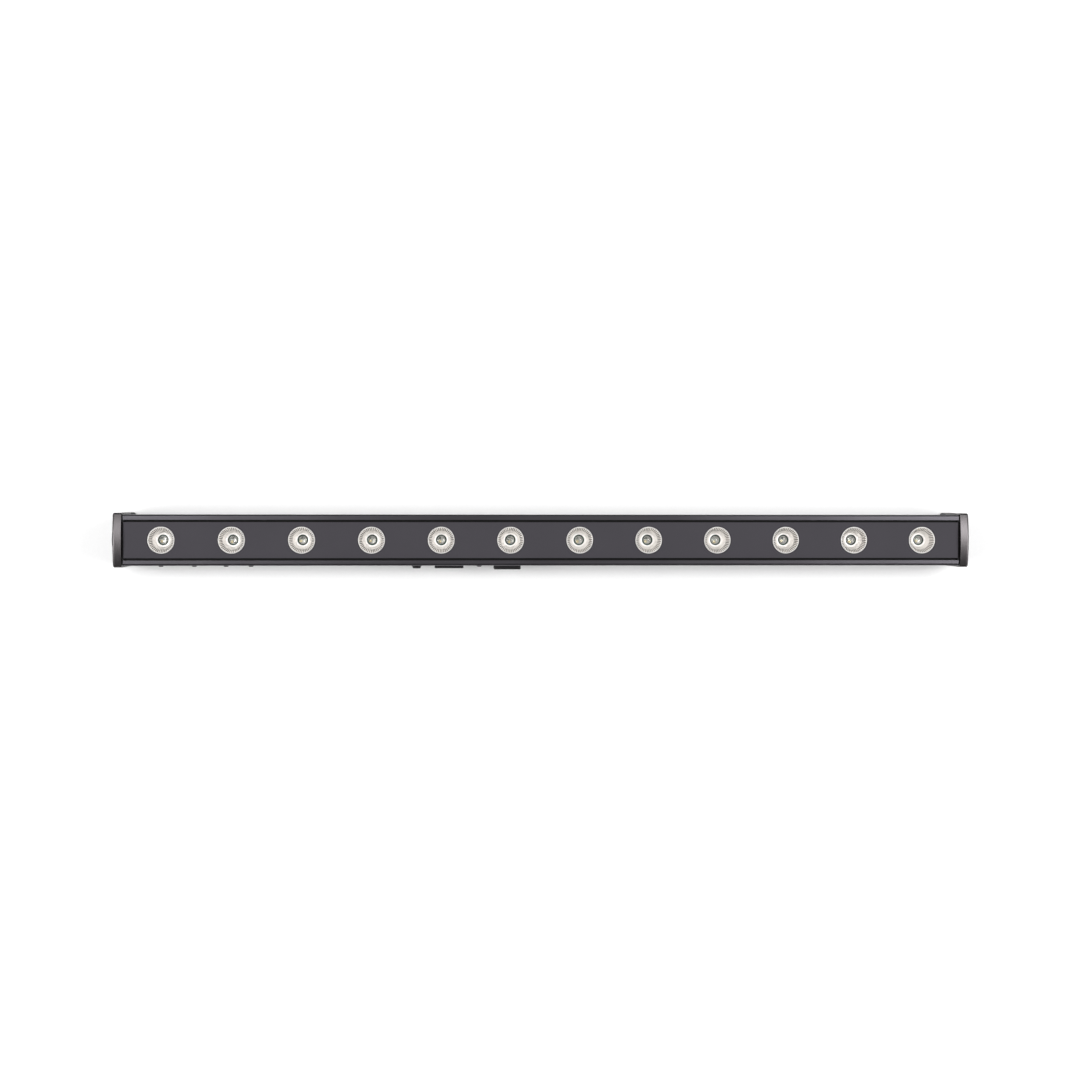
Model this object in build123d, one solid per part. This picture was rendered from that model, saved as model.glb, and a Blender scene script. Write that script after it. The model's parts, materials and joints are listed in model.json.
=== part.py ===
from build123d import *
import os
from math import acos, atan2, cos, hypot, radians, sin

# LED strip batten standing on its two tilting feet and shining upwards.
# X runs along the batten, Y across it (the sockets are on the -Y side), Z is the way the
# light goes, and z = 0 is the floor under the foot plates. Millimetres.

# ---------------------------------------------------------------- driving dimensions
LENGTH = 1000.0            # over the outer faces of the two end caps
CAP_T = 10.0               # end cap thickness along X
GASKET_T = 1.8             # rubber sheet between cap and housing
BODY_W = 59.5              # housing width, Y
BODY_D = 60.0              # housing depth, Z
PIVOT_Z = 48.0             # tilt axis above the floor, at the middle of the housing's depth
WALL = 2.0
CAP_W = 63.4
OPTICS = 12
PITCH = 80.9
GAP = 0.05                 # clearance between pieces that only touch

END_X = LENGTH / 2
CAP_IN_X = END_X - CAP_T
HOUSING_X = CAP_IN_X - GASKET_T
PANEL_X = HOUSING_X - 0.4
BACK_Z = PIVOT_Z - BODY_D / 2
FRONT_Z = PIVOT_Z + BODY_D / 2
SIDE_Y = BODY_W / 2
INNER_Y = SIDE_Y - WALL

# housing section
WEB_LOW, WEB_TOP = 52.5, 55.0          # shelf that carries the LED boards
REAR_FLOOR_Z = BACK_Z + 3.0
LEDGE_LOW, LEDGE_TOP = 68.5, 70.5      # the panel's wings lie on the ledges
LEDGE_Y = 19.5
LIP_LOW = 71.8                         # underside of the front rails
FRONT_EDGE_R, BACK_EDGE_R = 2.4, 3.0
SLOT_Y = 25.7
RAIL_Y = 23.6                          # inner edge of the front rails
PORT_Y, PORT_LOW_Z, PORT_HIGH_Z = 24.9, 24.0, 66.9
PORT_R, PORT_HOLE_R = 3.4, 2.0
GUIDE_Z, GUIDE_T, GUIDE_W = 29.4, 1.2, 2.0
GUIDE_CUT_X = (-466.0, -16.0)          # the board guide is milled away behind the sockets
FIN_GROOVES, FIN_PITCH, FIN_W, FIN_DEPTH = 6, 8.0, 4.0, 1.5

# front panel: a shallow hat section whose wings slide in under the rails
PANEL_Y, PANEL_LEG_Y, WING_Y = 20.9, 19.6, 25.4
PANEL_TOP, PANEL_SKIN_LOW, WING_TOP = 76.2, 74.6, 71.7
PANEL_LOW = LEDGE_TOP + GAP
PANEL_HOLE_R = 16.2

# optics and LED boards
BOARD_T = 1.6
BOARD_TOP = WEB_TOP + BOARD_T
OPTIC_TOP = 75.6
OPTIC_R = 15.6
OPTIC_MOUTH_R = 14.5
OPTIC_RING_R, OPTIC_BORE_R = 7.75, 6.25
OPTIC_DEPTH = 15.7                     # from the rim down to the inner ring
OPTIC_BASE = OPTIC_TOP - OPTIC_DEPTH - 2.4
HOLDER_R, HOLDER_IN_R = 17.6, 15.75
EMITTER_TRAY_R, EMITTER_TRAY_H = 4.75, 1.8
EMITTER_DOME_R, EMITTER_DOME_H = 4.25, 2.4

# connector side: positions along X and the common height of everything on it
SOCKET_Z = 39.8
SIDE_SCREW_X = (-451.1, -412.0, -375.0, -345.8, -76.8)
DMX_IN_X = (SIDE_SCREW_X[0] + SIDE_SCREW_X[1]) / 2
DMX_OUT_X = (SIDE_SCREW_X[1] + SIDE_SCREW_X[2]) / 2
DISPLAY_X = (SIDE_SCREW_X[2] + SIDE_SCREW_X[3]) / 2
BUTTON_X = {"menu": -330.0, "down": -316.0, "up": -302.0, "enter": -288.0}
FUSE_X, INLET_X, OUTLET_X = -150.8, -112.4, -43.7
SHELL_R, SHELL_BORE_R, SHELL_PROUD, SHELL_LONG = 11.5, 9.6, 0.2, 20.0
SHELL_DEEP, INSERT_R = 15.0, 7.9
DISPLAY_W, DISPLAY_H = 22.0, 12.0
BUTTON_R, BUTTON_PROUD, BUTTON_TRAVEL = 3.0, 0.55, 0.5
PLATE_T = 1.5
CONTROL_Y = -19.6
MAINS_W, MAINS_H, MAINS_LONG = 27.2, 20.2, 20.0
INLET_PROUD, OUTLET_PROUD = 3.8, 5.2
INLET_FLANGE_W, OUTLET_FLANGE_W, FLANGE_H = 34.0, 31.8, 24.6
FUSE_R, FUSE_BORE_R, FUSE_STEM_R = 5.0, 3.65, 3.6

# feet
FOOT_T = 2.5
FOOT_HALF_W = 32.0
FOOT_IN_X = 487.5
ARM_T = 2.4
ARM_IN_X = END_X + 0.55
ARM_OUT_X = ARM_IN_X + ARM_T
ARM_R = 18.0
FOOT_HOLE_X, FOOT_HOLE_SPACING, FOOT_HOLE_R = 494.2, 40.0, 3.25
PIVOT_R, PIVOT_HOLE_R, PIVOT_HEAD_R, PIVOT_HEAD_H = 3.95, 4.0, 7.5, 2.4

os.makedirs("parts", exist_ok=True)


# ---------------------------------------------------------------- helpers
def save(name, shape):
    """Write one named piece as its own STEP file."""
    shape.label = name
    export_step(shape, f"parts/{name}.step")


def group(solids):
    """Several separate solids that share one node."""
    return Compound(children=[s for piece in solids for s in piece.solids()])


def block(x0, x1, y0, y1, z0, z1):
    """A box given by its low and high corners."""
    centre = ((x0 + x1) / 2, (y0 + y1) / 2, (z0 + z1) / 2)
    return Pos(*centre) * Box(x1 - x0, y1 - y0, z1 - z0)


def rod_x(x0, x1, y, z, r):
    """A cylinder along X."""
    return Pos((x0 + x1) / 2, y, z) * Rot(0, 90, 0) * Cylinder(r, x1 - x0)


def rod_y(x, y0, y1, z, r):
    """A cylinder along Y."""
    return Pos(x, (y0 + y1) / 2, z) * Rot(90, 0, 0) * Cylinder(r, y1 - y0)


def rod_z(x, y, z0, z1, r):
    """A cylinder along Z."""
    return Pos(x, y, (z0 + z1) / 2) * Cylinder(r, z1 - z0)


def cone_y(x, y0, y1, z, r0, r1):
    """A cone along Y, radius r0 at y0 and r1 at y1."""
    turned = Rot(-90, 0, 0) * Cone(r0, r1, y1 - y0)
    return Pos(x, (y0 + y1) / 2, z) * turned


def mirror_x(shape):
    """The same piece at the other end."""
    return mirror(shape, about=Plane.YZ)


def section_x(sketch, x0, x1):
    """Extrude a (Y, Z) section from x0 to x1."""
    return Pos(x0, 0, 0) * extrude(Plane.YZ * sketch, x1 - x0)


def rect_yz(y0, y1, z0, z1):
    """A rectangle in (Y, Z) section coordinates."""
    return Pos((y0 + y1) / 2, (z0 + z1) / 2) * Rectangle(y1 - y0, z1 - z0)


def port_points():
    """The four screw ports of the housing, as (y, z)."""
    return [(side * PORT_Y, z) for side in (-1, 1) for z in (PORT_LOW_Z, PORT_HIGH_Z)]


def optic_xs():
    """Optic centres along X."""
    return [(i - (OPTICS - 1) / 2) * PITCH for i in range(OPTICS)]


# ---------------------------------------------------------------- housing
def housing_section():
    outline = Pos(0, PIVOT_Z) * Rectangle(BODY_W, BODY_D)
    outline = fillet(outline.vertices().group_by(Axis.Y)[-1], FRONT_EDGE_R)
    outline = fillet(outline.vertices().group_by(Axis.Y)[0], BACK_EDGE_R)
    outline -= rect_yz(-INNER_Y, INNER_Y, WEB_TOP, LEDGE_LOW)
    outline -= rect_yz(-LEDGE_Y, LEDGE_Y, LEDGE_LOW - 0.1, LEDGE_TOP + 0.1)
    outline -= rect_yz(-SLOT_Y, SLOT_Y, LEDGE_TOP, LIP_LOW)
    outline -= rect_yz(-RAIL_Y, RAIL_Y, LIP_LOW - 0.1, FRONT_Z + 1)
    outline -= rect_yz(-INNER_Y, INNER_Y, REAR_FLOOR_Z, WEB_LOW)
    for i in range(FIN_GROOVES):
        y = (i - (FIN_GROOVES - 1) / 2) * FIN_PITCH
        outline -= rect_yz(y - FIN_W / 2, y + FIN_W / 2, BACK_Z - 1, BACK_Z + FIN_DEPTH)
    for side in (-1, 1):
        edge = side * (INNER_Y + 0.1)
        tip = side * (INNER_Y - GUIDE_W)
        outline += rect_yz(min(edge, tip), max(edge, tip), GUIDE_Z, GUIDE_Z + GUIDE_T)
    for y, z in port_points():
        outline += Pos(y, z) * Circle(PORT_R)
    for y, z in port_points():
        outline -= Pos(y, z) * Circle(PORT_HOLE_R)
    return outline


def side_cut(x, width, height, corner):
    """A rounded rectangular opening through the connector side's wall."""
    hole = RectangleRounded(width, height, corner)
    tool = extrude(Plane.XZ * hole, WALL + 2, both=True)
    return Pos(x, -SIDE_Y + WALL / 2, SOCKET_Z) * tool


def housing():
    body = section_x(housing_section(), -HOUSING_X, HOUSING_X)
    body -= block(GUIDE_CUT_X[0], GUIDE_CUT_X[1], -INNER_Y, -INNER_Y + GUIDE_W + 1,
                  GUIDE_Z - 0.5, GUIDE_Z + 2)
    for x in (DMX_IN_X, DMX_OUT_X):
        body -= rod_y(x, -SIDE_Y - 1, -INNER_Y + 0.5, SOCKET_Z, SHELL_R + 0.1)
    for x in BUTTON_X.values():
        body -= rod_y(x, -SIDE_Y - 1, -INNER_Y + 0.5, SOCKET_Z, BUTTON_R + 0.25)
    for x in SIDE_SCREW_X:
        body -= rod_y(x, -SIDE_Y - 1, -INNER_Y + 0.5, SOCKET_Z, 1.6)
    body -= rod_y(FUSE_X, -SIDE_Y - 1, -INNER_Y + 0.5, SOCKET_Z, FUSE_R + 0.1)
    body -= side_cut(DISPLAY_X, DISPLAY_W + 0.3, DISPLAY_H + 0.3, 0.8)
    body -= side_cut(INLET_X, MAINS_W + 0.2, MAINS_H + 0.2, 1.5)
    body -= side_cut(OUTLET_X, MAINS_W + 0.2, MAINS_H + 0.2, 1.5)
    return body


def front_panel():
    section = rect_yz(-PANEL_Y, PANEL_Y, PANEL_LOW, PANEL_TOP)
    section += rect_yz(-WING_Y, WING_Y, PANEL_LOW, WING_TOP)
    section -= rect_yz(-PANEL_LEG_Y, PANEL_LEG_Y, PANEL_LOW - 1, PANEL_SKIN_LOW)
    panel = section_x(section, -PANEL_X, PANEL_X)
    for x in optic_xs():
        panel -= rod_z(x, 0, PANEL_LOW - 1, PANEL_TOP + 1, PANEL_HOLE_R)
    return panel


# ---------------------------------------------------------------- optics
def revolved(points):
    """Turn a closed (radius, z) outline about Z."""
    return revolve(make_face(Plane.XZ * Polyline(*points, close=True)), Axis.Z)


def collimator():
    """Moulded collimator: rim, bowl-shaped flank, inner ring and bore over the emitter."""
    ring_z = OPTIC_TOP - OPTIC_DEPTH
    bowl = []
    steps = 8
    for i in range(steps + 1):
        t = i / steps
        r = OPTIC_MOUTH_R + (OPTIC_RING_R - OPTIC_MOUTH_R) * t
        bowl.append((r, OPTIC_TOP - 0.4 - (OPTIC_DEPTH - 0.4) * t ** 0.85))
    outline = [(OPTIC_BORE_R, OPTIC_BASE), (OPTIC_BORE_R, ring_z)]
    outline += list(reversed(bowl))
    outline += [(OPTIC_MOUTH_R, OPTIC_TOP), (OPTIC_R, OPTIC_TOP), (OPTIC_R, OPTIC_TOP - 3.2)]
    outline += [(9.6, ring_z - 0.6), (8.6, OPTIC_BASE)]
    return revolved(outline)


def lens_holder():
    """Plastic cup that centres the collimator over the emitter and stands on the board."""
    seat_z = OPTIC_BASE - GAP
    top_z = PANEL_SKIN_LOW - GAP
    cup = rod_z(0, 0, BOARD_TOP, top_z, HOLDER_R)
    cup -= rod_z(0, 0, seat_z, top_z + 1, HOLDER_IN_R)
    cup += rod_z(0, 0, seat_z - 0.1, seat_z + 3.0, 11.6)
    cup -= rod_z(0, 0, seat_z, seat_z + 4.0, 10.6)
    cup -= rod_z(0, 0, BOARD_TOP - 1, top_z + 1, 6.9)
    return cup


def emitter():
    """Four-chip emitter: round ceramic tray and a clear dome."""
    tray_top = BOARD_TOP + EMITTER_TRAY_H
    tray = rod_z(0, 0, BOARD_TOP, tray_top, EMITTER_TRAY_R)
    sphere_r = (EMITTER_DOME_R ** 2 + EMITTER_DOME_H ** 2) / (2 * EMITTER_DOME_H)
    dome = Pos(0, 0, tray_top + EMITTER_DOME_H - sphere_r) * Sphere(sphere_r)
    dome &= rod_z(0, 0, tray_top - 0.1, tray_top + 10, EMITTER_DOME_R)
    return tray + dome


def led_board(x0, x1):
    board = block(x0, x1, -21.0, 21.0, WEB_TOP, BOARD_TOP)
    for x in optic_xs():
        for dx in (-1, 1):
            hole_x = x + dx * 26.0
            if x0 + 3 < hole_x < x1 - 3:
                board -= rod_z(hole_x, 14.0, WEB_TOP - 1, BOARD_TOP + 1, 1.6)
                board -= rod_z(hole_x, -14.0, WEB_TOP - 1, BOARD_TOP + 1, 1.6)
    return board


# ---------------------------------------------------------------- end caps, seals, fasteners
def cap_section():
    """Flat back and sides, crowned front."""
    half = CAP_W / 2
    low, shoulder, crown = BACK_Z - 1.25, FRONT_Z - 1.6, FRONT_Z + 2.4
    sides = Polyline((-half, shoulder), (-half, low), (half, low), (half, shoulder))
    top = ThreePointArc((half, shoulder), (0, crown), (-half, shoulder))
    face = make_face(sides + top)
    face = fillet(face.vertices().group_by(Axis.Y)[0], 3.0)
    return fillet(face.vertices().group_by(Axis.Y)[-1], 2.6)


def end_cap():
    cap = section_x(cap_section(), CAP_IN_X, END_X)
    outer = cap.faces().sort_by(Axis.X)[-1]
    cap = fillet(outer.edges(), 2.2)
    pocket = section_x(rect_yz(-27.0, 27.0, BACK_Z + 3, FRONT_Z - 4.5), CAP_IN_X - 1, CAP_IN_X + 5)
    pocket -= rod_x(CAP_IN_X - 2, END_X, 0, PIVOT_Z, 9.0)
    for y, z in port_points():
        pocket -= rod_x(CAP_IN_X - 2, END_X, y, z, 5.2)
    cap -= pocket
    for y, z in port_points():
        cap -= rod_x(CAP_IN_X - 1, END_X + 1, y, z, 2.2)
        cap -= rod_x(END_X - 2.5, END_X + 1, y, z, 3.8)
    cap -= rod_x(END_X - 8.5, END_X + 1, 0, PIVOT_Z, PIVOT_R + 0.03)
    return cap


def end_gasket():
    half = SIDE_Y - 1.2
    sheet = section_x(rect_yz(-half, half, BACK_Z + 1.2, FRONT_Z - 4.0), HOUSING_X, CAP_IN_X)
    sheet = fillet(sheet.edges().filter_by(Axis.X), 1.5)
    for y, z in port_points():
        sheet -= rod_x(HOUSING_X - 1, CAP_IN_X + 1, y, z, 2.3)
    return sheet


def pan_screw_x(y, z):
    """Pan-head screw along X, head sunk in the cap's counterbore."""
    head = rod_x(END_X - 2.45, END_X - 0.25, y, z, 3.6)
    head = fillet(head.edges().sort_by(Axis.X)[-1], 1.0)
    shank = rod_x(HOUSING_X - 14, END_X - 2.4, y, z, 1.95)
    slot_a = block(END_X - 1.2, END_X, y - 2.0, y + 2.0, z - 0.35, z + 0.35)
    slot_b = block(END_X - 1.2, END_X, y - 0.35, y + 0.35, z - 2.0, z + 2.0)
    return head + shank - slot_a - slot_b


def button_screw_y(x):
    """Button-head screw on the connector side, with a hexagon socket."""
    head = rod_y(x, -SIDE_Y - 2.3, -SIDE_Y - 0.01, SOCKET_Z, 3.0)
    head = fillet(head.edges().sort_by(Axis.Y)[0], 1.4)
    shank = rod_y(x, -SIDE_Y - 0.1, -SIDE_Y + 6.2, SOCKET_Z, 1.45)
    key = extrude(Plane.XZ * RegularPolygon(1.0, 6), 1.2)
    key = Pos(x, -SIDE_Y - 1.2, SOCKET_Z) * key
    return head + shank - key


# ---------------------------------------------------------------- feet
def foot_bracket():
    """Folded steel foot: arm on the cap's outer face, plate turned inwards under the body."""
    base_y, base_z = FOOT_HALF_W, 8.0
    reach = hypot(base_y, PIVOT_Z - base_z)
    turn = atan2(base_z - PIVOT_Z, base_y) + acos(ARM_R / reach)
    tangent = (ARM_R * cos(turn), PIVOT_Z + ARM_R * sin(turn))
    outline = make_face(Polyline(
        (-base_y, 0), (base_y, 0), (base_y, base_z), tangent,
        (-tangent[0], tangent[1]), (-base_y, base_z), close=True))
    outline += Pos(0, PIVOT_Z) * Circle(ARM_R)
    arm = section_x(outline, ARM_IN_X, ARM_OUT_X)
    plate = block(FOOT_IN_X, ARM_OUT_X, -FOOT_HALF_W, FOOT_HALF_W, 0, FOOT_T)
    inner = plate.edges().filter_by(Axis.Z).group_by(Axis.X)[0]
    plate = fillet(inner, 2.6)
    foot = arm + plate
    bend = [e for e in foot.edges().filter_by(Axis.Y)
            if abs(e.center().Z) < 0.01 and e.center().X > ARM_OUT_X - 0.01]
    foot = fillet(bend, 2.2)
    foot -= rod_x(ARM_IN_X - 1, ARM_OUT_X + 1, 0, PIVOT_Z, PIVOT_HOLE_R)
    for side in (-1, 1):
        foot -= rod_z(FOOT_HOLE_X, side * FOOT_HOLE_SPACING / 2, -1, FOOT_T + 1, FOOT_HOLE_R)
    return foot


def pivot_screw():
    head_x = ARM_OUT_X + GAP
    head = rod_x(head_x, head_x + PIVOT_HEAD_H, 0, PIVOT_Z, PIVOT_HEAD_R)
    head = fillet(head.edges().sort_by(Axis.X)[-1], 1.4)
    shank = rod_x(END_X - 8.3, head_x + 0.1, 0, PIVOT_Z, PIVOT_R)
    key = extrude(Plane.YZ * RegularPolygon(2.9, 6), 3)
    return head + shank - Pos(head_x + 0.6, 0, PIVOT_Z) * key


def friction_washer():
    ring = rod_x(END_X, ARM_IN_X - GAP, 0, PIVOT_Z, 13.0)
    return ring - rod_x(END_X - 1, ARM_IN_X + 1, 0, PIVOT_Z, PIVOT_R + 0.1)


# ---------------------------------------------------------------- connector side
def clamp_plate():
    """Steel plate behind the wall that the four left-hand screws pull the sockets with."""
    y0 = -INNER_Y + PLATE_T + 2 * GAP
    y1 = y0 + PLATE_T
    plate = block(SIDE_SCREW_X[0] - 6, SIDE_SCREW_X[3] + 5.5, y0, y1, 28.0, 51.8)
    for x in (DMX_IN_X, DMX_OUT_X):
        plate -= rod_y(x, y0 - 1, y1 + 1, SOCKET_Z, SHELL_R + 0.2)
    plate -= block(DISPLAY_X - 11.4, DISPLAY_X + 11.4, y0 - 1, y1 + 1,
                   SOCKET_Z - 6.5, SOCKET_Z + 6.5)
    for x in SIDE_SCREW_X[:4]:
        plate -= rod_y(x, y0 - 1, y1 + 1, SOCKET_Z, 1.5)
    for x in (DISPLAY_X - 9.5, DISPLAY_X + 9.5):
        post = rod_y(x, y1 - 0.1, CONTROL_Y - GAP, SOCKET_Z + 9.5, 2.0)
        plate += post
    return plate


def round_shell(x):
    """Shell of a three-pole round chassis socket, with a flange behind the wall."""
    front = -SIDE_Y - SHELL_PROUD
    back = front + SHELL_LONG
    shell = rod_y(x, front, back, SOCKET_Z, SHELL_R)
    shell = fillet(shell.edges().sort_by(Axis.Y)[0], 0.6)
    flange = rod_y(x, -INNER_Y + GAP, -INNER_Y + GAP + PLATE_T, SOCKET_Z, 14.3)
    flange &= block(x - 14.2, x + 14.2, -30, -20, SOCKET_Z - 11.9, SOCKET_Z + 11.9)
    shell += flange
    return shell - rod_y(x, front - 1, front + SHELL_DEEP, SOCKET_Z, SHELL_BORE_R)


def dmx_in_socket():
    """Male chassis socket: an open cup with a keyway at the top."""
    front = -SIDE_Y - SHELL_PROUD
    keyway = block(DMX_IN_X - 1.7, DMX_IN_X + 1.7, front - 1, front + 6,
                   SOCKET_Z + 9.0, SOCKET_Z + 10.9)
    return round_shell(DMX_IN_X) - keyway


def dmx_out_socket():
    """Female chassis socket: a shell with a key, and the insert that holds the contacts."""
    x, front = DMX_OUT_X, -SIDE_Y - SHELL_PROUD
    shell = round_shell(x)
    shell += block(x - 1.6, x + 1.6, front + 0.8, front + SHELL_DEEP + 0.1,
                   SOCKET_Z + INSERT_R + GAP, SOCKET_Z + SHELL_BORE_R + 0.3)
    insert = rod_y(x, front + 0.8, front + SHELL_DEEP - GAP, SOCKET_Z, INSERT_R)
    for dx, dz in pole_points():
        insert -= rod_y(x + dx, front - 1, front + 14.0, SOCKET_Z + dz, 1.5)
    return group([shell, insert])


def pole_points():
    """Pin positions of the three-pole connector, about its axis."""
    return [(5.3 * cos(radians(a)), 5.3 * sin(radians(a))) for a in (-30, 90, 210)]


def dmx_pins():
    y_tip = -SIDE_Y - SHELL_PROUD + 5.0
    y_seat = -SIDE_Y - SHELL_PROUD + 15.0
    pins = []
    for dx, dz in pole_points():
        pin = rod_y(DMX_IN_X + dx, y_tip, y_seat, SOCKET_Z + dz, 1.2)
        pins.append(fillet(pin.edges().sort_by(Axis.Y)[0], 0.7))
    return group(pins)


def dmx_contacts():
    y0 = -SIDE_Y - SHELL_PROUD + 3.0
    sleeves = []
    for dx, dz in pole_points():
        x, z = DMX_OUT_X + dx, SOCKET_Z + dz
        sleeve = rod_y(x, y0, y0 + 10.0, z, 1.47)
        sleeves.append(sleeve - rod_y(x, y0 - 1, y0 + 8.0, z, 1.1))
    return group(sleeves)


def mains_body(x, flange_w, flange_h, proud, corner):
    """Snap-in mains connector: proud flange outside, rectangular body inside."""
    face = extrude(Plane.XZ * RectangleRounded(flange_w, flange_h, corner), proud)
    flange = Pos(x, -SIDE_Y - 0.01, SOCKET_Z) * face
    front = flange.edges().group_by(Axis.Y)[0]
    flange = fillet(front, 1.2)
    core = extrude(Plane.XZ * RectangleRounded(MAINS_W, MAINS_H, 1.4), MAINS_LONG + 1)
    return flange + Pos(x, -SIDE_Y + MAINS_LONG, SOCKET_Z) * core


def inlet_outline():
    """Inlet cavity: a rectangle with its two lower corners cut off."""
    return make_face(Polyline((-12.2, 8.2), (12.2, 8.2), (12.2, -3.8), (7.8, -8.2),
                              (-7.8, -8.2), (-12.2, -3.8), close=True))


def mains_inlet():
    body = mains_body(INLET_X, INLET_FLANGE_W, FLANGE_H, INLET_PROUD, 2.4)
    front = -SIDE_Y - INLET_PROUD
    cavity = extrude(Plane.XZ * inlet_outline(), 17.0 + 1)
    return body - Pos(INLET_X, front + 17.0, SOCKET_Z) * cavity


def inlet_pins():
    tip = -SIDE_Y - INLET_PROUD + 5.0
    seat = -SIDE_Y - INLET_PROUD + 17.0
    pins = []
    for dx, dz in ((-7.0, -1.0), (0.0, 3.0), (7.0, -1.0)):
        pin = block(INLET_X + dx - 1, INLET_X + dx + 1, tip, seat,
                    SOCKET_Z + dz - 2, SOCKET_Z + dz + 2)
        pins.append(chamfer(pin.edges().group_by(Axis.Y)[0], 0.6))
    return group(pins)


def outlet_slots():
    """Centres of the outlet's three contact slots."""
    return ((-7.0, 1.0), (0.0, -3.0), (7.0, 1.0))


def mains_outlet():
    body = mains_body(OUTLET_X, OUTLET_FLANGE_W, FLANGE_H, OUTLET_PROUD, 2.4)
    front = -SIDE_Y - OUTLET_PROUD
    groove = RectangleRounded(25.0, 17.0, 2.0) - RectangleRounded(20.6, 12.6, 1.2)
    ring = extrude(Plane.XZ * groove, 15.0 + 1)
    body -= Pos(OUTLET_X, front + 15.0, SOCKET_Z) * ring
    for dx, dz in outlet_slots():
        body -= block(OUTLET_X + dx - 1.3, OUTLET_X + dx + 1.3, front - 1, front + 15.5,
                      SOCKET_Z + dz - 2.4, SOCKET_Z + dz + 2.4)
    return body


def outlet_contacts():
    y0 = -SIDE_Y - OUTLET_PROUD + 3.0
    contacts = []
    for dx, dz in outlet_slots():
        x, z = OUTLET_X + dx, SOCKET_Z + dz
        leaf = block(x - 1.25, x + 1.25, y0, y0 + 11.0, z - 2.3, z + 2.3)
        contacts.append(leaf - block(x - 0.8, x + 0.8, y0 - 1, y0 + 9.5, z - 3, z + 3))
    return group(contacts)


def fuse_holder():
    flange = cone_y(FUSE_X, -SIDE_Y - 2.0, -SIDE_Y - 0.01, SOCKET_Z, 5.5, 6.4)
    tube = rod_y(FUSE_X, -SIDE_Y - 0.5, -SIDE_Y + 26.8, SOCKET_Z, FUSE_R)
    bore = rod_y(FUSE_X, -SIDE_Y - 3, -SIDE_Y + 25.0, SOCKET_Z, FUSE_BORE_R)
    return flange + tube - bore


def fuse_cap():
    """Bayonet cap: tapered head with a driver slot, and the stem that carries the fuse."""
    top = -SIDE_Y - 4.2
    seat = -SIDE_Y - 2.05
    head = cone_y(FUSE_X, top, seat, SOCKET_Z, 4.5, 5.0)
    head = fillet(head.edges().sort_by(Axis.Y)[0], 0.5)
    stem = rod_y(FUSE_X, seat - 0.1, -SIDE_Y + 4.6, SOCKET_Z, FUSE_STEM_R)
    cup = rod_y(FUSE_X, -SIDE_Y + 0.6, -SIDE_Y + 5, SOCKET_Z, 2.7)
    slot = block(FUSE_X - 3.4, FUSE_X + 3.4, top - 1, top + 1.1, SOCKET_Z - 0.5, SOCKET_Z + 0.5)
    return head + stem - cup - slot


def fuse_cartridge():
    """5 by 20 mm glass fuse, its near end held in the cap's cup."""
    return rod_y(FUSE_X, -SIDE_Y + 0.7, -SIDE_Y + 20.7, SOCKET_Z, 2.6)


def display_window():
    pane = extrude(Plane.XZ * RectangleRounded(DISPLAY_W, DISPLAY_H, 0.7), 1.9)
    return Pos(DISPLAY_X, -INNER_Y, SOCKET_Z) * pane


def display_module():
    """Three-digit block behind the window, with its pin rows on the board side."""
    return block(DISPLAY_X - 11.0, DISPLAY_X + 11.0, -INNER_Y + 0.3, CONTROL_Y - GAP,
                 SOCKET_Z - 5.5, SOCKET_Z + 5.5)


def push_button(x):
    """Button cap with the collar that keeps it behind the wall."""
    front = -SIDE_Y - BUTTON_PROUD
    cap = rod_y(x, front, -INNER_Y + 3.2, SOCKET_Z, BUTTON_R)
    cap = fillet(cap.edges().sort_by(Axis.Y)[0], 0.4)
    collar = rod_y(x, -INNER_Y + 0.1, -INNER_Y + 1.1, SOCKET_Z, 4.2)
    return cap + collar


def control_board():
    """Vertical board behind the display and buttons, with its switches and chips."""
    pieces = [block(SIDE_SCREW_X[2] + 1.0, BUTTON_X["enter"] + 9.0, CONTROL_Y, CONTROL_Y + BOARD_T,
                    31.5, 51.5)]
    plunger_y = -INNER_Y + 3.2 + BUTTON_TRAVEL + 0.2
    for x in BUTTON_X.values():
        pieces[0] += block(x - 3, x + 3, plunger_y + 1.0, CONTROL_Y + 0.1,
                           SOCKET_Z - 3, SOCKET_Z + 3)
        pieces[0] += rod_y(x, plunger_y, plunger_y + 1.1, SOCKET_Z, 1.7)
    for x, w in ((-352.0, 14.0), (-325.0, 10.0), (-300.0, 16.0)):
        pieces[0] += block(x - w / 2, x + w / 2, CONTROL_Y + BOARD_T - 0.1,
                           CONTROL_Y + BOARD_T + 1.8, SOCKET_Z - 5, SOCKET_Z + 5)
    return pieces[0]


# ---------------------------------------------------------------- power supply
SUPPLY_X0, SUPPLY_X1 = -8.0, 330.0
SUPPLY_Z = PORT_LOW_Z + PORT_R + 0.1


def power_supply_board():
    return block(SUPPLY_X0, SUPPLY_X1, -INNER_Y + 0.2, INNER_Y - 0.2, SUPPLY_Z, SUPPLY_Z + BOARD_T)


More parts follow.
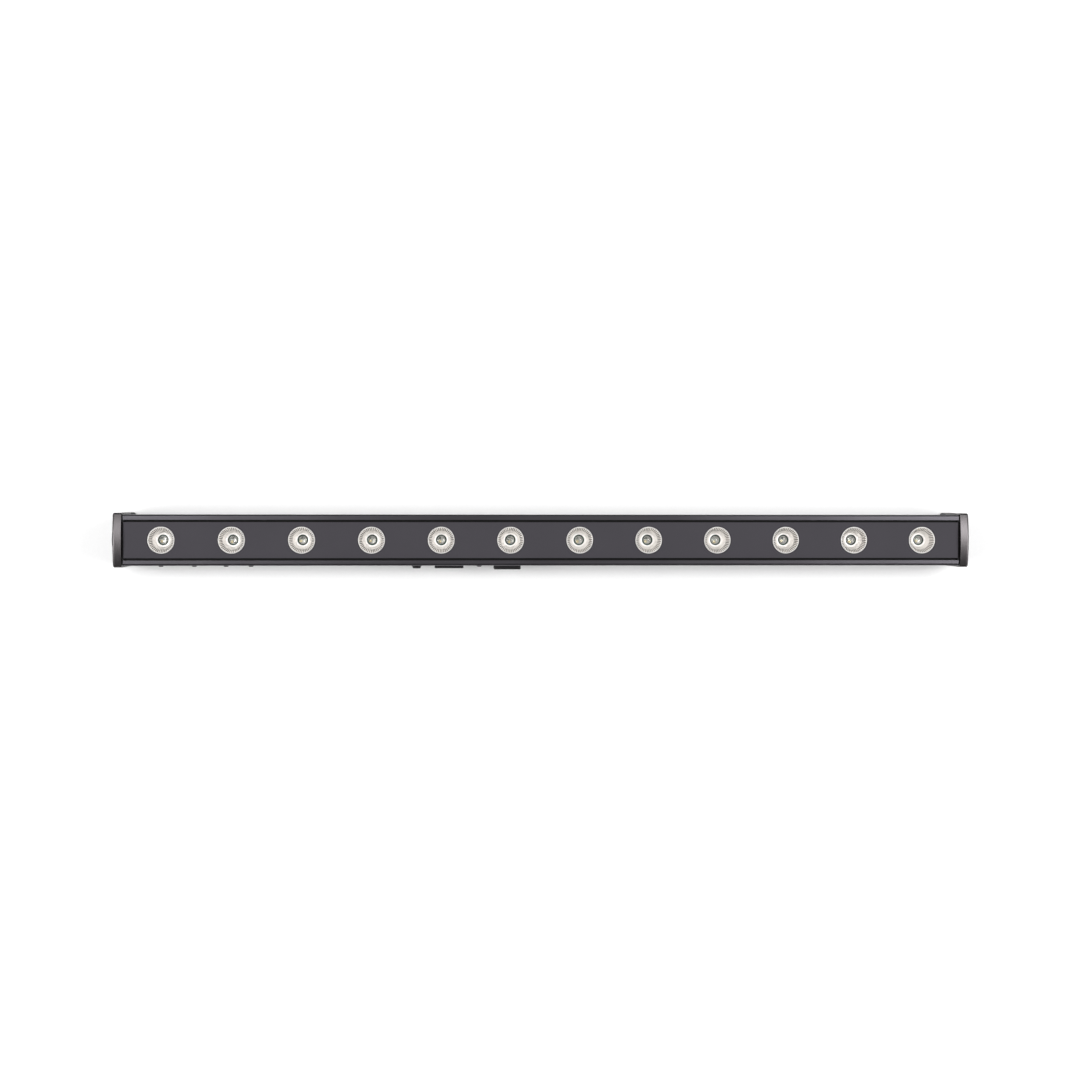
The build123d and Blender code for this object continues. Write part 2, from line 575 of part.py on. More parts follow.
def power_supply_parts():
    """Transformer, chokes, capacitors, heat sinks and connectors, standing on the board."""
    z = SUPPLY_Z + BOARD_T
    pieces = []
    core = block(118, 152, -15, 15, z, z + 20)
    coil = rod_x(112, 158, 0, z + 10, 8.5)
    pieces.append(core + coil)
    for x, r, h in ((40, 9.0, 21), (62, 9.0, 21), (200, 6.5, 19), (216, 6.5, 19), (232, 6.5, 19)):
        can = rod_z(x, -12, z, z + h, r)
        pieces.append(fillet(can.edges().sort_by(Axis.Z)[-1], 0.8))
    choke = rod_z(20, 8, z, z + 14, 9.5) - rod_z(20, 8, z + 2, z + 15, 3.5)
    pieces.append(choke)
    for x in (88, 176):
        sink = block(x - 1.5, x + 1.5, -20, 20, z, z + 20)
        for y in (-16, -8, 0, 8, 16):
            sink += block(x - 6, x + 6, y - 0.8, y + 0.8, z, z + 20)
        pieces.append(sink)
    for x in (-2, 318):
        pieces.append(block(x - 4, x + 4, -16, 16, z, z + 9))
    for x, y in ((46, 14), (66, 16), (206, 14), (228, 14), (262, 0), (286, -8)):
        pieces.append(block(x - 8, x + 8, y - 4, y + 4, z, z + 8))
    return group(pieces)


# ---------------------------------------------------------------- write every piece
def main():
    save("housing_extrusion", housing())
    save("front_panel", front_panel())

    optic, cup, led = collimator(), lens_holder(), emitter()
    leds = []
    for number, x in enumerate(optic_xs(), start=1):
        save(f"collimator_{number:02d}", Pos(x, 0, 0) * optic)
        save(f"lens_holder_{number:02d}", Pos(x, 0, 0) * cup)
        leds.append(Pos(x, 0, 0) * led)
    save("led_emitters", group(leds))
    save("led_board_left", led_board(-HOUSING_X + 3, -0.5))
    save("led_board_right", led_board(0.5, HOUSING_X - 3))

    for side, place in (("right", lambda s: s), ("left", mirror_x)):
        save(f"end_cap_{side}", place(end_cap()))
        save(f"end_gasket_{side}", place(end_gasket()))
        save(f"foot_bracket_{side}", place(foot_bracket()))
    cap_screws = [pan_screw_x(y, z) for y, z in port_points()]
    save("end_cap_screws", group(cap_screws + [mirror_x(s) for s in cap_screws]))
    save("pivot_screws", group([pivot_screw(), mirror_x(pivot_screw())]))
    save("friction_washers", group([friction_washer(), mirror_x(friction_washer())]))

    save("side_screws", group([button_screw_y(x) for x in SIDE_SCREW_X]))
    save("clamp_plate", clamp_plate())
    save("dmx_in_socket", dmx_in_socket())
    save("dmx_in_pins", dmx_pins())
    save("dmx_out_socket", dmx_out_socket())
    save("dmx_out_contacts", dmx_contacts())
    save("display_window", display_window())
    save("display_module", display_module())
    save("control_board", control_board())
    for name, x in BUTTON_X.items():
        save(f"button_{name}", push_button(x))
    save("fuse_holder", fuse_holder())
    save("fuse_cap", fuse_cap())
    save("fuse_cartridge", fuse_cartridge())
    save("mains_inlet", mains_inlet())
    save("mains_inlet_pins", inlet_pins())
    save("mains_outlet", mains_outlet())
    save("mains_outlet_contacts", outlet_contacts())
    save("power_supply_board", power_supply_board())
    save("power_supply_parts", power_supply_parts())


main()
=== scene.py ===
import json
import math
import random

import bmesh
import bpy
from mathutils import Matrix, Vector


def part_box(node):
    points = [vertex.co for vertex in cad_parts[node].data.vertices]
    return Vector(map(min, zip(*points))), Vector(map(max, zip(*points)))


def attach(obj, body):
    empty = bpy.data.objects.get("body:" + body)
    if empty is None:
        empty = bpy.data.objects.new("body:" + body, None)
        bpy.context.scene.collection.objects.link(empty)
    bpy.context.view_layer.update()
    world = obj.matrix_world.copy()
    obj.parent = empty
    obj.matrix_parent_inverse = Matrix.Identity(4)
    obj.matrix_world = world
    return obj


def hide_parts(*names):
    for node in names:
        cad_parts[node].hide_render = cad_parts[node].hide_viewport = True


# LED strip batten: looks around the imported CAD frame. Metres, in the frame's own axes.
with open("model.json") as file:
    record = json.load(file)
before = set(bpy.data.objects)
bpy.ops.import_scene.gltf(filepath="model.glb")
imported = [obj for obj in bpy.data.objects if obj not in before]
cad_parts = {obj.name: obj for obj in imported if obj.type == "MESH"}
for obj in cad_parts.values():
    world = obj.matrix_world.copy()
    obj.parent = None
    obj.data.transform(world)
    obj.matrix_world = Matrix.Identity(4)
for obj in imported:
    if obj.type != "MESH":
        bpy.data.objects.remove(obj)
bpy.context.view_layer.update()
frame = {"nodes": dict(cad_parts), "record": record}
NODES = frame["nodes"]

MM = 0.001
OPTICS = 12


# ---------------------------------------------------------------- camera
CAMERA_PLACE = Vector((-97.4, 34.6, 2078.0)) * MM
CAMERA_YAW, CAMERA_PITCH, CAMERA_ROLL = -2.610, -0.984, 0.045      # degrees
CAMERA_LENS = 57.224


def make_camera():
    data = bpy.data.cameras.new("camera")
    data.lens = CAMERA_LENS
    data.sensor_width = 36.0
    data.clip_end = 50.0
    camera = bpy.data.objects.new("camera", data)
    bpy.context.scene.collection.objects.link(camera)
    turn = Matrix.Rotation(math.radians(CAMERA_YAW), 4, "Y")
    turn = turn @ Matrix.Rotation(math.radians(CAMERA_PITCH), 4, "X")
    turn = turn @ Matrix.Rotation(math.radians(CAMERA_ROLL), 4, "Z")
    camera.matrix_world = Matrix.Translation(CAMERA_PLACE) @ turn
    bpy.context.scene.camera = camera


# ---------------------------------------------------------------- node helpers
class Shader:
    """Builds one Principled material; place, noise, cells, fit and blend return a socket."""

    def __init__(self, name, **inputs):
        self.material = bpy.data.materials.new(name)
        self.material.use_nodes = True
        self.tree = self.material.node_tree
        self.bsdf = self.tree.nodes["Principled BSDF"]
        self.coords = None
        for key, value in inputs.items():
            self.bsdf.inputs[key.replace("_", " ")].default_value = value

    def node(self, kind, **settings):
        made = self.tree.nodes.new(kind)
        for key, value in settings.items():
            setattr(made, key, value)
        return made

    def link(self, source, target):
        self.tree.links.new(source, target)

    def place(self, scale=(1, 1, 1)):
        """Object coordinates, in metres, times scale."""
        if self.coords is None:
            self.coords = self.node("ShaderNodeTexCoord").outputs["Object"]
        mapping = self.node("ShaderNodeMapping")
        mapping.inputs["Scale"].default_value = scale
        self.link(self.coords, mapping.inputs["Vector"])
        return mapping.outputs["Vector"]

    def noise(self, scale, stretch=(1, 1, 1), detail=3.0):
        made = self.node("ShaderNodeTexNoise")
        made.inputs["Scale"].default_value = scale
        made.inputs["Detail"].default_value = detail
        self.link(self.place(stretch), made.inputs["Vector"])
        return made.outputs["Fac"]

    def cells(self, scale):
        made = self.node("ShaderNodeTexVoronoi")
        made.inputs["Scale"].default_value = scale
        self.link(self.place(), made.inputs["Vector"])
        return made.outputs["Distance"]

    def fit(self, value, low, high, to_low, to_high):
        made = self.node("ShaderNodeMapRange")
        for key, number in (("From Min", low), ("From Max", high),
                            ("To Min", to_low), ("To Max", to_high)):
            made.inputs[key].default_value = number
        self.link(value, made.inputs["Value"])
        return made.outputs["Result"]

    def blend(self, factor, dark, light):
        made = self.node("ShaderNodeMix", data_type="RGBA")
        made.inputs["A"].default_value = (*dark, 1)
        made.inputs["B"].default_value = (*light, 1)
        self.link(factor, made.inputs["Factor"])
        return made.outputs["Result"]

    def colour(self, value):
        self.link(value, self.bsdf.inputs["Base Color"])

    def roughness(self, value):
        self.link(value, self.bsdf.inputs["Roughness"])

    def bump(self, height, strength, distance):
        made = self.node("ShaderNodeBump")
        made.inputs["Strength"].default_value = strength
        made.inputs["Distance"].default_value = distance
        self.link(height, made.inputs["Height"])
        self.link(made.outputs["Normal"], self.bsdf.inputs["Normal"])


def shades(base, spread):
    """A darker and a lighter tone about one colour."""
    return tuple(c * (1 - spread) for c in base), tuple(min(1.0, c * (1 + spread)) for c in base)


def grained(name, base, rough, grain, spread=0.08, depth=0.04 * MM, metallic=0.0, **inputs):
    """Moulded or powder-coated surface: fine grain in bump, tone and roughness."""
    s = Shader(name, Metallic=metallic, **inputs)
    fine = s.noise(grain)
    broad = s.noise(18.0)
    s.colour(s.blend(s.fit(broad, 0.3, 0.7, 0, 1), *shades(base, spread)))
    s.roughness(s.fit(fine, 0.3, 0.7, rough - 0.05, rough + 0.07))
    s.bump(fine, 0.35, depth)
    return s.material


# Near-black tone painted on the panel's wings as shade in the grooves.
GROOVE_SHADE_TONE = (0.006, 0.006, 0.006)
GROOVE_SHADE_DROP = 2.4 * MM                 # the wings lie this far below the panel's face; below this height the coat is painted near black as painted shade


def coat_with_groove_shade(name, base, groove_shade_z):
    """Matte powder coat on the panel's face; its wings, down in the grooves, are coloured near black
    as painted shade.
    """
    s = Shader(name, Specular_IOR_Level=0.12)
    fine = s.noise(2600.0)
    broad = s.noise(18.0)
    split = s.node("ShaderNodeSeparateXYZ")
    s.link(s.place(), split.inputs["Vector"])
    coat = s.blend(s.fit(broad, 0.3, 0.7, 0, 1), *shades(base, 0.03))
    # Painted shade: below the given height the wings are coloured near black, as shade in the grooves.
    groove_shade_mix = s.node("ShaderNodeMix", data_type="RGBA")
    groove_shade_mix.inputs["A"].default_value = (*GROOVE_SHADE_TONE, 1)
    s.link(coat, groove_shade_mix.inputs["B"])
    s.link(s.fit(split.outputs["Z"], groove_shade_z, groove_shade_z + 0.4 * MM, 0, 1), groove_shade_mix.inputs["Factor"])
    s.colour(groove_shade_mix.outputs["Result"])
    s.roughness(s.fit(fine, 0.3, 0.7, 0.65, 0.77))
    s.bump(fine, 0.35, 0.02 * MM)
    return s.material


def drawn_metal(name, base, rough, stretch=(6, 900, 900)):
    """Metal with fine lines along X, as an extrusion or brushed sheet has."""
    s = Shader(name, Metallic=1.0)
    lines = s.noise(1.0, stretch=stretch)
    haze = s.noise(9.0)
    s.colour(s.blend(s.fit(haze, 0.3, 0.7, 0, 1), *shades(base, 0.1)))
    s.roughness(s.fit(lines, 0.25, 0.75, rough - 0.05, rough + 0.06))
    s.bump(lines, 0.25, 0.02 * MM)
    return s.material


def speckled(name, base, fleck, rough, scale):
    """Circuit board lacquer with a faint weave and copper tracks under it."""
    s = Shader(name)
    weave = s.cells(scale)
    tracks = s.noise(60.0, stretch=(1.0, 6.0, 1.0), detail=0.0)
    s.colour(s.blend(s.fit(tracks, 0.50, 0.53, 0, 1), base, fleck))
    s.roughness(s.fit(weave, 0.0, 0.6, rough, rough + 0.15))
    s.bump(tracks, 0.3, 0.03 * MM)
    return s.material


def flank_mirror(name, base, rough):
    """Metallised moulding of the collimator's flank."""
    s = Shader(name, Metallic=0.5)
    mist = s.noise(900.0)
    tone = s.noise(140.0, detail=2.0)
    s.colour(s.blend(s.fit(tone, 0.3, 0.7, 0, 1), *shades(base, 0.06)))
    s.roughness(s.fit(mist, 0.3, 0.7, rough - 0.04, rough + 0.06))
    s.bump(mist, 0.12, 0.01 * MM)
    return s.material


def clear(name, tint, rough, ior, film):
    """Clear moulding or glass with slight waviness."""
    s = Shader(name, Transmission_Weight=1.0, IOR=ior)
    wave = s.noise(220.0, detail=1.0)
    s.colour(s.blend(s.fit(wave, 0.3, 0.7, 0, 1), *shades(tint, film)))
    s.roughness(s.fit(wave, 0.3, 0.7, rough, rough + 0.03))
    return s.material


# ---------------------------------------------------------------- materials
def make_materials():
    return {
        "black_anodised": drawn_metal("anodised_extrusion", (0.060, 0.057, 0.064), 0.33),
        "matte_black_panel": coat_with_groove_shade("panel_coat_groove_shade", (0.044, 0.041, 0.048),
                                        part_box("front_panel")[1].z - GROOVE_SHADE_DROP),
        "led_board": speckled("led_board_lacquer", (0.010, 0.040, 0.026), (0.02, 0.07, 0.045),
                              0.32, 900.0),
        "green_board": speckled("board_lacquer", (0.02, 0.12, 0.06), (0.05, 0.20, 0.10),
                                0.35, 900.0),
        "cap_coat": grained("cap_satin_coat", (0.076, 0.071, 0.073), 0.31, 3200.0,
                            spread=0.08, depth=0.004 * MM, metallic=1.0),
        "seal_rubber": grained("seal_rubber", (0.012, 0.012, 0.013), 0.75, 1200.0),
        "black_screw": drawn_metal("black_zinc", (0.045, 0.045, 0.05), 0.38,
                                   stretch=(500, 500, 500)),
        "foot_coat": grained("foot_powder_coat", (0.030, 0.029, 0.032), 0.48, 1300.0,
                             spread=0.06, depth=0.09 * MM),
        "nylon": grained("washer_nylon", (0.03, 0.03, 0.03), 0.5, 900.0),
        "zinc_steel": drawn_metal("zinc_sheet", (0.62, 0.63, 0.64), 0.34),
        "socket_shell": grained("die_cast_shell", (0.035, 0.035, 0.038), 0.38, 1100.0,
                                metallic=0.4),
        "socket_plastic": grained("socket_moulding", (0.014, 0.014, 0.015), 0.48, 800.0,
                                  depth=0.03 * MM, Specular_IOR_Level=0.22),
        "plated_contact": drawn_metal("silver_plate", (0.80, 0.77, 0.68), 0.22,
                                      stretch=(300, 40, 300)),
        "fuse_glass": clear("fuse_glass", (0.93, 0.96, 0.96), 0.02, 1.5, 0.02),
        "smoked_window": clear("smoked_window", (0.22, 0.05, 0.05), 0.04, 1.49, 0.05),
        "display_block": grained("display_block", (0.02, 0.02, 0.02), 0.4, 900.0),
        "supply_parts": grained("supply_parts", (0.07, 0.07, 0.08), 0.45, 700.0, spread=0.4),
        "button_cap": grained("key_rubber", (0.06, 0.06, 0.064), 0.6, 900.0, depth=0.06 * MM),
        "collimator_mirror": flank_mirror("flank_mirror", (0.90, 0.872, 0.842), 0.33),
        "holder_plastic": grained("holder_plastic", (0.02, 0.02, 0.021), 0.5, 900.0),
        "emitter": grained("emitter_package", (0.42, 0.42, 0.41), 0.40, 1500.0, spread=0.05),
    }


def make_detail_materials():
    return {
        "ring_frost": grained("ring_frost", (0.92, 0.915, 0.90), 0.45, 1400.0, spread=0.02),
        # Painted reflection: a darker tone for the flute valleys near the rim, standing in for the
        # dark holder seen in the optic.
        "flute_valley_dark_reflection": grained("flute_valley_dark_reflection", (0.26, 0.25, 0.24), 0.30, 1400.0, metallic=0.9),
        "rim_frost": grained("rim_frost", (0.60, 0.585, 0.57), 0.40, 1400.0, spread=0.03),
        "grey_die": grained("grey_die", (0.56, 0.56, 0.54), 0.28, 1800.0, metallic=0.5),
        "dark_die": grained("dark_die", (0.34, 0.36, 0.34), 0.26, 1800.0, metallic=0.5),
        "phosphor": grained("phosphor_die", (0.66, 0.57, 0.33), 0.5, 1800.0),
        "dome": clear("emitter_dome", (0.97, 0.97, 0.95), 0.01, 1.41, 0.01),
        "mark": grained("key_print", (0.55, 0.55, 0.56), 0.5, 1500.0),
        "segment": grained("display_segment", (0.34, 0.30, 0.29), 0.4, 1500.0),
    }


# ---------------------------------------------------------------- mesh helpers
SMOOTH_DEGREES = 35.0


def new_object(name, build, materials):
    """A mesh object from a function that fills a bmesh."""
    mesh = bpy.data.meshes.new(name)
    bm = bmesh.new()
    build(bm)
    bmesh.ops.recalc_face_normals(bm, faces=bm.faces)
    bm.to_mesh(mesh)
    bm.free()
    for material in materials:
        mesh.materials.append(material)
    for polygon in mesh.polygons:
        polygon.use_smooth = True
    mesh.set_sharp_from_angle(angle=math.radians(SMOOTH_DEGREES))
    made = bpy.data.objects.new(name, mesh)
    bpy.context.scene.collection.objects.link(made)
    return made


def ring(bm, radius_at, z_at, count):
    """One loop of points; radius and height are functions of the angle."""
    points = []
    for i in range(count):
        angle = math.tau * i / count
        r = radius_at(angle)
        points.append(bm.verts.new((r * math.cos(angle), r * math.sin(angle), z_at(angle))))
    return points


def bridge(bm, rings, closed):
    """Quads between neighbouring rings, and from the last back to the first if closed."""
    pairs = list(zip(rings, rings[1:]))
    if closed:
        pairs.append((rings[-1], rings[0]))
    faces = []
    for low, high in pairs:
        count = len(low)
        for i in range(count):
            j = (i + 1) % count
            faces.append(bm.faces.new((low[i], low[j], high[j], high[i])))
    return faces


# ---------------------------------------------------------------- collimators
FLUTES = 40
FLUTE_STEPS = 4                      # points across one flute
FLUTE_DEPTH = 0.50 * MM
STAIRS = 9                           # steps up the flank
REFLECTION_TEETH_FROM = 9                       # flank rings from here up have their valleys painted darker, a painted dark reflection
RING, VALLEY_REFLECTION, RIM = 1, 2, 3          # material places on the optic
LIP = 1.1 * MM                       # rim width, from the mouth to the outer edge
RING_R, BORE_R, BASE_R = 7.75 * MM, 6.25 * MM, 8.6 * MM
RING_DROP = 15.7 * MM                # from the rim down to the inner ring
FLANK_START = 0.25 * MM              # the flank's first ring is this far above the inner ring
FLANK_TOP_GAP = 0.7 * MM             # and its last ring this far below the rim


def flute_wave(angle):
    """Saw tooth between 0 and 1, FLUTES times round."""
    phase = (angle * FLUTES / math.tau) % 1.0
    return 1.0 - abs(2.0 * phase - 1.0)


def collimator_mesh(bm, low, high):
    """Closed ring-shaped moulding: bore, inner ring, fluted stepped flank, rim and outer cone."""
    top = high.z
    rim_r = (high.x - low.x) / 2
    mouth_r = rim_r - LIP
    ring_z = top - RING_DROP
    flank_h = top - FLANK_TOP_GAP - ring_z - FLANK_START
    count = FLUTES * FLUTE_STEPS
    rings = []

    def plain(r, z):
        rings.append(ring(bm, lambda a: r, lambda a: z, count))

    plain(BORE_R, low.z)
    plain(BORE_R, ring_z - 0.3 * MM)
    plain(BORE_R + 0.3 * MM, ring_z)
    plain(RING_R - 0.2 * MM, ring_z)
    flank_start = len(rings)
    for i in range(STAIRS * 2 + 1):
        t = i / (STAIRS * 2)
        stair = (i // 2 + (i % 2) * 0.82) / STAIRS
        r = RING_R + (mouth_r - RING_R) * min(1.0, stair)
        z = ring_z + FLANK_START + flank_h * t ** 1.12
        depth = FLUTE_DEPTH * min(1.0, 4 * t) * (1 + 0.9 * t) * min(1.0, 6 * (1 - t) + 0.15)
        rings.append(ring(bm, lambda a, r=r, d=depth: r - d * flute_wave(a),
                          lambda a, z=z: z, count))
    flank_end = len(rings) - 1
    plain(mouth_r, top - 0.2 * MM)
    plain(mouth_r + 0.2 * MM, top)
    plain(rim_r - 0.25 * MM, top)
    plain(rim_r, top - 0.25 * MM)
    plain(rim_r, top - 3.2 * MM)
    plain(RING_R + 1.85 * MM, ring_z - 0.6 * MM)
    plain(BASE_R, low.z)
    faces = bridge(bm, rings, closed=True)
    for index, face in enumerate(faces):
        level, step = divmod(index, count)
        in_valley = step % FLUTE_STEPS in (0, FLUTE_STEPS - 1)
        if level == flank_start - 2:
            face.material_index = RING
        elif level > flank_end:
            face.material_index = RIM
        # Painted reflection: the valleys of the upper flank take the darker material.
        elif flank_start + REFLECTION_TEETH_FROM <= level < flank_end and in_valley:
            face.material_index = VALLEY_REFLECTION


def make_collimators(materials, details):
    for number in range(1, OPTICS + 1):
        node = f"collimator_{number:02d}"
        low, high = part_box(node)
        centre = (low + high) / 2
        piece = new_object(f"fluted_optic_{number:02d}",
                           lambda bm: collimator_mesh(bm, low, high),
                           [materials["collimator_mirror"], details["ring_frost"],
                            details["flute_valley_dark_reflection"], details["rim_frost"]])
        piece.location = (centre.x, centre.y, 0)
        piece.rotation_euler = (0, 0, random.uniform(0, math.tau))
        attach(piece, "housing")
        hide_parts(node)


# ---------------------------------------------------------------- emitters
DIE, DIE_GAP, DIE_H, DIE_BEVEL = 2.5 * MM, 0.45 * MM, 0.25 * MM, 0.12 * MM
DIE_SINK = 0.05 * MM                 # a die's foot is this far inside the tray's floor
TRAY_FLOOR = 0.9
TRAY_PROFILE = ((0.01, 0.0), (4.6, 0.0), (4.75, 0.15), (4.75, 1.65), (4.6, 1.8), (4.3, 1.8),
                (4.1, 0.95), (0.01, TRAY_FLOOR))              # radius and height, mm
DOME_R, DOME_H, DOME_BASE = 4.25 * MM, 2.4 * MM, 1.82 * MM
ROUND_COUNT = 48                     # points round the tray and the dome
DOME_STEPS = 10
GREY_DIE, DARK_DIE, PHOSPHOR = 1, 2, 3                        # material places on the package


def add_box(bm, low, high, material=0, top_inset=0.0):
    """A box with an optional narrower top."""
    corners = []
    for z, inset in ((low[2], 0.0), (high[2], top_inset)):
        x0, x1 = low[0] + inset, high[0] - inset
        y0, y1 = low[1] + inset, high[1] - inset
        corners.append([bm.verts.new(p) for p in ((x0, y0, z), (x1, y0, z), (x1, y1, z), (x0, y1, z))])
    bottom, top = corners
    faces = [bm.faces.new(tuple(reversed(bottom))), bm.faces.new(tuple(top))]
    for i in range(4):
        j = (i + 1) % 4
        faces.append(bm.faces.new((bottom[i], bottom[j], top[j], top[i])))
    for face in faces:
        face.material_index = material


def emitter_package_mesh(bm, low_z):
    """Round ceramic tray with a dam, and four dies in two rows on its floor."""
    tray = []
    for r, z in TRAY_PROFILE:
        tray.append(ring(bm, lambda a, r=r: r * MM, lambda a, z=z: low_z + z * MM, ROUND_COUNT))
    bridge(bm, tray, closed=True)
    floor_z = low_z + TRAY_FLOOR * MM
    kinds = (PHOSPHOR, GREY_DIE, DARK_DIE, GREY_DIE)
    for index, (column, row) in enumerate(((0, 0), (1, 0), (0, 1), (1, 1))):
        x = (column - 0.5) * (DIE + DIE_GAP)
        y = (row - 0.5) * (DIE + DIE_GAP)
        add_box(bm, (x - DIE / 2, y - DIE / 2, floor_z - DIE_SINK),
                (x + DIE / 2, y + DIE / 2, floor_z + DIE_H), kinds[index], DIE_BEVEL)


def dome_mesh(bm, low_z):
    """Clear dome on the dam, closed underneath."""
    base = low_z + DOME_BASE
    rings = []
    for i in range(DOME_STEPS):
        turn = 0.5 * math.pi * i / DOME_STEPS
        rings.append(ring(bm, lambda a, t=turn: DOME_R * math.cos(t),
                          lambda a, t=turn: base + DOME_H * math.sin(t), ROUND_COUNT))
    bridge(bm, rings, closed=False)
    bm.faces.new(rings[0])
    crown = bm.verts.new((0, 0, base + DOME_H))
    last = rings[-1]
    for i in range(ROUND_COUNT):
        bm.faces.new((last[i], last[(i + 1) % ROUND_COUNT], crown))


def make_emitters(materials, details):
    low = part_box("led_emitters")[0]
    for number in range(1, OPTICS + 1):
        near_low, near_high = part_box(f"collimator_{number:02d}")
        centre = (near_low + near_high) / 2
        turn = random.uniform(-0.35, 0.35)
        package = new_object(f"emitter_package_{number:02d}",
                             lambda bm: emitter_package_mesh(bm, low.z),
                             [materials["emitter"], details["grey_die"], details["dark_die"],
                              details["phosphor"]])
        dome = new_object(f"emitter_dome_{number:02d}", lambda bm: dome_mesh(bm, low.z),
                          [details["dome"]])
        for piece in (package, dome):
            piece.location = (centre.x, centre.y, 0)
            piece.rotation_euler = (0, 0, turn)
            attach(piece, "housing")
            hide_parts("led_emitters")


# ---------------------------------------------------------------- display and key marks
DIGIT_PITCH, DIGIT_W, DIGIT_H, BAR_T = 7.0 * MM, 4.0 * MM, 7.4 * MM, 0.75 * MM
DOT_PLACE, DOT_SIZE = (3.1 * MM, -4.1 * MM), 0.7 * MM      # lower left corner, from the digit's centre
SEGMENT_LIFT = 0.12 * MM


def segment_boxes():
    """The seven bars of one digit as (x0, x1, z0, z1) about its centre."""
    w, h, t, g = DIGIT_W / 2, DIGIT_H / 2, BAR_T / 2, BAR_T * 0.6
    return [
        (-w + g, w - g, h - t, h + t),
        (w - t, w + t, g, h - g),
        (w - t, w + t, -h + g, -g),
        (-w + g, w - g, -h - t, -h + t),
        (-w - t, -w + t, -h + g, -g),
        (-w - t, -w + t, g, h - g),
        (-w + g, w - g, -t, t),
    ]


def make_display(details):
    low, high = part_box("display_module")
    centre = (low + high) / 2
    front = low.y - SEGMENT_LIFT

    def build(bm):
        for digit in (-1, 0, 1):
            x = centre.x + digit * DIGIT_PITCH
            for x0, x1, z0, z1 in segment_boxes():
                add_box(bm, (x + x0, front, centre.z + z0), (x + x1, low.y, centre.z + z1))
            dot_x, dot_z = x + DOT_PLACE[0], centre.z + DOT_PLACE[1]
            add_box(bm, (dot_x, front, dot_z), (dot_x + DOT_SIZE, low.y, dot_z + DOT_SIZE))

    piece = new_object("display_digits", build, [details["segment"]])
    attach(piece, "housing")


MARK_SIZE, MARK_LIFT = 1.3 * MM, 0.04 * MM


def make_key_marks(details):
    """Small printed shapes on the keys: bars, two arrowheads and a dot."""
    shapes = {
        "menu": [[(-1, 0.55), (1, 0.55), (1, 0.85), (-1, 0.85)],
                 [(-1, -0.15), (1, -0.15), (1, 0.15), (-1, 0.15)],
                 [(-1, -0.85), (1, -0.85), (1, -0.55), (-1, -0.55)]],
        "up": [[(-0.9, -0.6), (0.9, -0.6), (0, 0.85)]],
        "down": [[(-0.9, 0.6), (0, -0.85), (0.9, 0.6)]],
        "enter": [[(0.75 * math.cos(math.tau * i / 24), 0.75 * math.sin(math.tau * i / 24))
                   for i in range(24)]],
    }
    for name, outlines in shapes.items():
        low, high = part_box(f"button_{name}")
        centre = (low + high) / 2

        def build(bm):
            for outline in outlines:
                layers = []
                for y in (low.y - MARK_LIFT, low.y + MARK_LIFT):
                    layers.append([bm.verts.new((centre.x + MARK_SIZE * px, y,
                                                 centre.z + MARK_SIZE * pz))
                                   for px, pz in outline])
                bm.faces.new(layers[0])
                bm.faces.new(tuple(reversed(layers[1])))
                bridge(bm, layers, closed=False)

        piece = new_object(f"key_mark_{name}", build, [details["mark"]])
        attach(piece, f"{name}_key")


# ---------------------------------------------------------------- CAD nodes keep their shape
def dress_nodes(materials):
    slots = {row["node"]: row["material_slot"] for row in frame["record"]["subparts"]}
    for name, node in NODES.items():
        node.data.materials.clear()
        node.data.materials.append(materials[slots[name]])


# ---------------------------------------------------------------- studio
FLOOR_SIZE = 12.0
FLOOR_DROP = 0.2 * MM                # keeps the floor clear of the foot plates
SOFTBOX_AIM = Vector((0, 0, 0.05))
SOFTBOXES = (                        # name, place, size, watts
    ("softbox_left", (-1.0, 0.40, 2.0), (0.8, 0.7), 10.0),
    ("softbox_right", (1.2, 0.40, 2.0), (0.8, 0.7), 18.0),
    ("softbox_left_end", (-1.75, -0.15, 1.75), (1.0, 1.0), 36.0),
    ("softbox_right_end", (1.85, -0.15, 1.75), (1.0, 1.0), 31.0),
    ("softbox_socket_side", (-0.1, -2.4, 0.7), (2.8, 0.6), 8.0),
)


def make_floor():
    s = Shader("floor_paper")
    tooth = s.noise(300.0)
    s.colour(s.blend(tooth, (0.86, 0.86, 0.86), (0.90, 0.90, 0.90)))
    s.bsdf.inputs["Roughness"].default_value = 0.9
    s.bsdf.inputs["Specular IOR Level"].default_value = 0.1
    bpy.ops.mesh.primitive_plane_add(size=FLOOR_SIZE, location=(0, 0, -FLOOR_DROP))
    floor = bpy.context.object
    floor.name = "studio_floor"
    floor.data.materials.append(s.material)


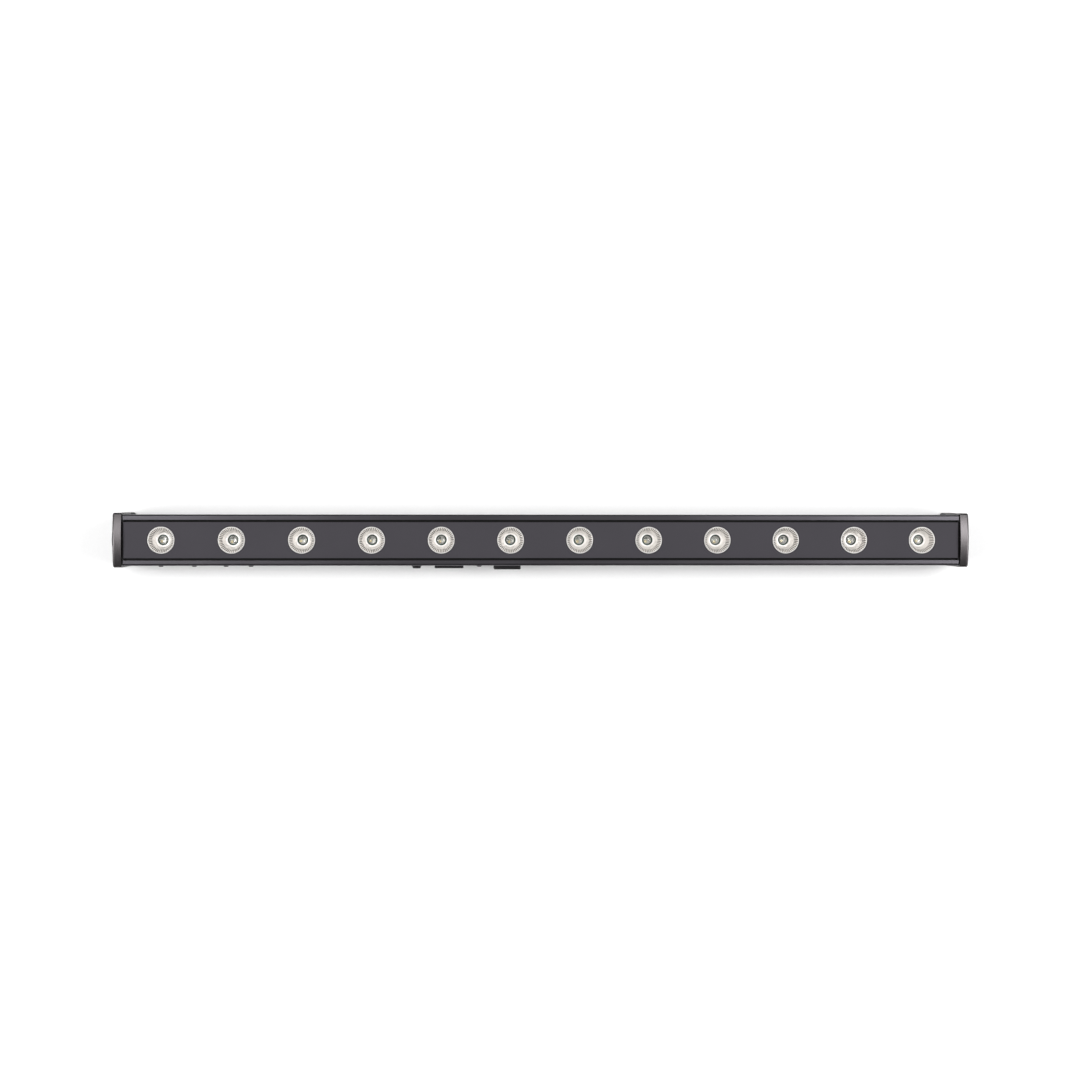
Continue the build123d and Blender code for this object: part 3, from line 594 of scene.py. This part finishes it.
def softbox(name, place, size, watts):
    data = bpy.data.lights.new(name, "AREA")
    data.shape = "RECTANGLE"
    data.size, data.size_y = size
    data.energy = watts
    lamp = bpy.data.objects.new(name, data)
    bpy.context.scene.collection.objects.link(lamp)
    lamp.location = place
    aim = SOFTBOX_AIM - Vector(place)
    lamp.rotation_euler = aim.to_track_quat("-Z", "Y").to_euler()


GLOW_AXIS = (0.0, 0.34, 0.940)       # the overhead glow leans away from the sockets
UPWARDS = (0.0, 0.0, 1.0)


def make_world():
    """A soft glow overhead, dim sides and a pale band at the horizon."""
    world = bpy.data.worlds.new("studio")
    bpy.context.scene.world = world
    world.use_nodes = True
    tree = world.node_tree
    background = tree.nodes["Background"]
    coords = tree.nodes.new("ShaderNodeTexCoord")

    def band(axis, from_min, from_max, to_min, to_max):
        along = tree.nodes.new("ShaderNodeVectorMath")
        along.operation = "DOT_PRODUCT"
        along.inputs[1].default_value = axis
        ramp = tree.nodes.new("ShaderNodeMapRange")
        ramp.interpolation_type = "SMOOTHSTEP"
        for key, number in (("From Min", from_min), ("From Max", from_max),
                            ("To Min", to_min), ("To Max", to_max)):
            ramp.inputs[key].default_value = number
        tree.links.new(coords.outputs["Generated"], along.inputs[0])
        tree.links.new(along.outputs["Value"], ramp.inputs["Value"])
        return ramp.outputs["Result"]

    total = tree.nodes.new("ShaderNodeMath")
    total.operation = "ADD"
    tree.links.new(band(GLOW_AXIS, 0.74, 1.0, 0.03, 1.0), total.inputs[0])
    tree.links.new(band(UPWARDS, 0.02, 0.45, 0.50, 0.0), total.inputs[1])
    tree.links.new(total.outputs["Value"], background.inputs["Strength"])
    background.inputs["Color"].default_value = (1, 1, 1, 1)


def make_lights():
    make_world()
    for row in SOFTBOXES:
        softbox(*row)
    bpy.context.scene.view_settings.view_transform = "Standard"


def main():
    random.seed(7)
    make_camera()
    materials = make_materials()
    details = make_detail_materials()
    dress_nodes(materials)
    make_collimators(materials, details)
    make_emitters(materials, details)
    make_display(details)
    make_key_marks(details)
    make_floor()
    make_lights()


main()
